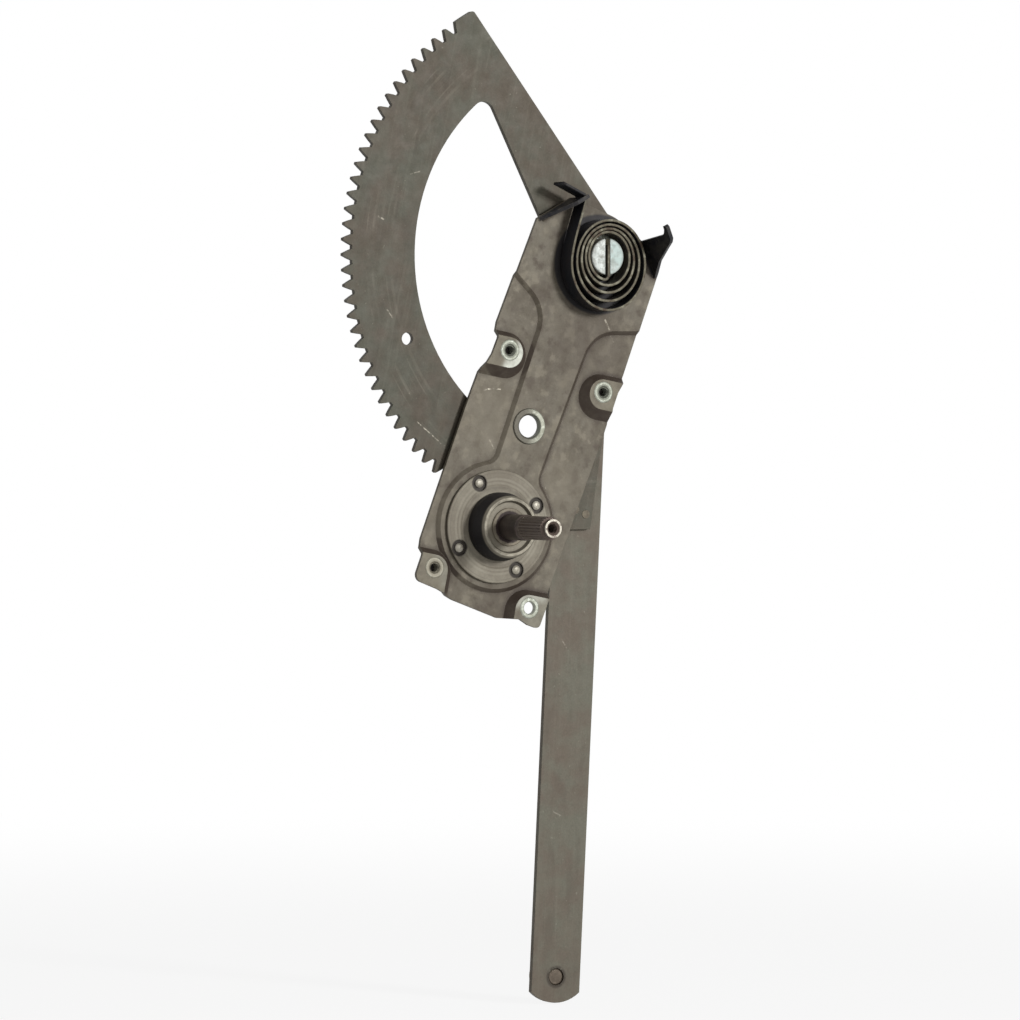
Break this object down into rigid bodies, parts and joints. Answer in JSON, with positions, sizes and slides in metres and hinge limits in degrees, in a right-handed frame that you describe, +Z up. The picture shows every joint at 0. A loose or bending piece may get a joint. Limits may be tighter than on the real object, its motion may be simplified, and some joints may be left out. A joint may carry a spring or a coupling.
{
  "type": "window regulator",
  "caption": "Hand-wound window regulator: toothed sector and lift arm on a pressed plate, with a counterbalance spring and a braked winder shaft.",
  "frame": {"origin": "Winder shaft's axis where it crosses the plane of the four fixing pads' front faces.", "axes": "-Y along the winder shaft towards the window crank, +Z up along the hanging lift arm, +X towards the pivot's side."},
  "size_m": [0.1809, 0.0887, 0.5171],
  "materials": {
    "plate_steel": "matte",
    "lift_steel": "matte",
    "housing_steel": "matte",
    "dark_steel": "satin",
    "zinc_plate": "satin",
    "bright_steel": "satin",
    "spring_steel": "satin",
    "bearing_bronze": "satin",
    "roller_nylon": "matte"
  },
  "bodies": {
    "base": {"base_plate": "plate_steel", "fixing_nuts": "zinc_plate", "locating_collar": "zinc_plate", "brake_housing": "housing_steel", "housing_rivets": "housing_steel", "shaft_bush": "bearing_bronze", "pinion_bridge": "plate_steel", "pivot_bush": "bearing_bronze", "pivot_washer": "zinc_plate", "counterbalance_spring": "spring_steel"},
    "lift": {"sector_gear": "lift_steel", "lift_arm": "lift_steel", "arm_welds": "lift_steel", "pivot_stud": "bright_steel", "guide_pin": "bright_steel", "roller_washer": "zinc_plate"},
    "winder": {"winder_shaft": "dark_steel", "drive_dog": "dark_steel", "pinion": "dark_steel", "brake_spring": "spring_steel", "thrust_washer": "bearing_bronze", "shaft_clip": "spring_steel"},
    "roller": {"guide_roller": "roller_nylon"}
  },
  "joints": [
    {"name": "lift_pivot", "type": "hinge", "parent": "base", "child": "lift", "pos_m": [0.05959, 0, 0.14038], "axis": [0, -1, 0], "range_deg": [0, 115], "deforming": ["counterbalance_spring"]},
    {"name": "winder_spin", "type": "hinge", "parent": "base", "child": "winder", "pos_m": [0, 0, 0], "axis": [0, -1, 0], "range_deg": [-1640, 0]},
    {"name": "roller_spin", "type": "hinge", "parent": "lift", "child": "roller", "pos_m": [0.04049, 0.02165, -0.23664], "axis": [0, -1, 0], "continuous": true}
  ],
  "couplings": [
    {"joint": "winder_spin", "follows": "lift_pivot", "ratio": -14.25}
  ]
}
